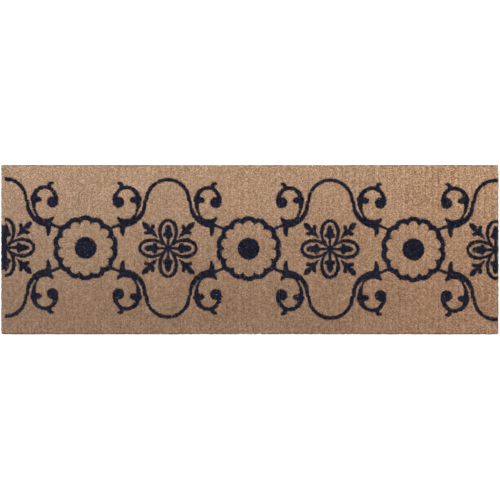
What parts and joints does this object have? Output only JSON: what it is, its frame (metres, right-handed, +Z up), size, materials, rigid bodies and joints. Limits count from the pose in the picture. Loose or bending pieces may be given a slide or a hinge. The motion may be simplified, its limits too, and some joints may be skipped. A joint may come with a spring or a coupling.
{
  "type": "door mat",
  "caption": "Long rectangular hand-woven coir door mat: sheared pile rows on a woven ground, corded long edges and braided, stitched ends, with a dark printed scroll pattern.",
  "frame": {"origin": "on the floor, under the middle of the mat", "axes": "+X along the length, +Y across the width, +Z up out of the pile"},
  "size_m": [1.346, 0.457, 0.032],
  "materials": {
    "coir_pile": "matte",
    "chain_yarn": "matte",
    "weft_yarn": "matte",
    "selvedge_cord": "matte",
    "end_braid": "matte",
    "stitching_yarn": "matte"
  },
  "bodies": {
    "root": {"pile_rows_01": "coir_pile", "pile_rows_02": "coir_pile", "pile_rows_03": "coir_pile", "pile_rows_04": "coir_pile", "pile_rows_05": "coir_pile", "pile_rows_06": "coir_pile", "pile_rows_07": "coir_pile", "pile_rows_08": "coir_pile", "pile_rows_09": "coir_pile", "pile_rows_10": "coir_pile", "pile_rows_11": "coir_pile", "pile_rows_12": "coir_pile", "pile_rows_13": "coir_pile", "pile_rows_14": "coir_pile", "pile_rows_15": "coir_pile", "pile_rows_16": "coir_pile", "pile_rows_17": "coir_pile", "pile_rows_18": "coir_pile", "pile_rows_19": "coir_pile", "pile_rows_20": "coir_pile", "pile_rows_21": "coir_pile", "pile_rows_22": "coir_pile", "pile_rows_23": "coir_pile", "pile_rows_24": "coir_pile", "pile_rows_25": "coir_pile", "chain_yarn_01": "chain_yarn", "chain_yarn_02": "chain_yarn", "chain_yarn_03": "chain_yarn", "chain_yarn_04": "chain_yarn", "chain_yarn_05": "chain_yarn", "chain_yarn_06": "chain_yarn", "chain_yarn_07": "chain_yarn", "chain_yarn_08": "chain_yarn", "chain_yarn_09": "chain_yarn", "chain_yarn_10": "chain_yarn", "chain_yarn_11": "chain_yarn", "chain_yarn_12": "chain_yarn", "chain_yarn_13": "chain_yarn", "chain_yarn_14": "chain_yarn", "chain_yarn_15": "chain_yarn", "chain_yarn_16": "chain_yarn", "chain_yarn_17": "chain_yarn", "chain_yarn_18": "chain_yarn", "chain_yarn_19": "chain_yarn", "chain_yarn_20": "chain_yarn", "chain_yarn_21": "chain_yarn", "chain_yarn_22": "chain_yarn", "chain_yarn_23": "chain_yarn", "chain_yarn_24": "chain_yarn", "chain_yarn_25": "chain_yarn", "chain_yarn_26": "chain_yarn", "weft_yarn": "weft_yarn", "selvedge_cord_front": "selvedge_cord", "selvedge_cord_back": "selvedge_cord", "end_braid_left": "end_braid", "end_braid_right": "end_braid", "end_stitching_left": "stitching_yarn", "end_stitching_right": "stitching_yarn"}
  },
  "joints": []
}
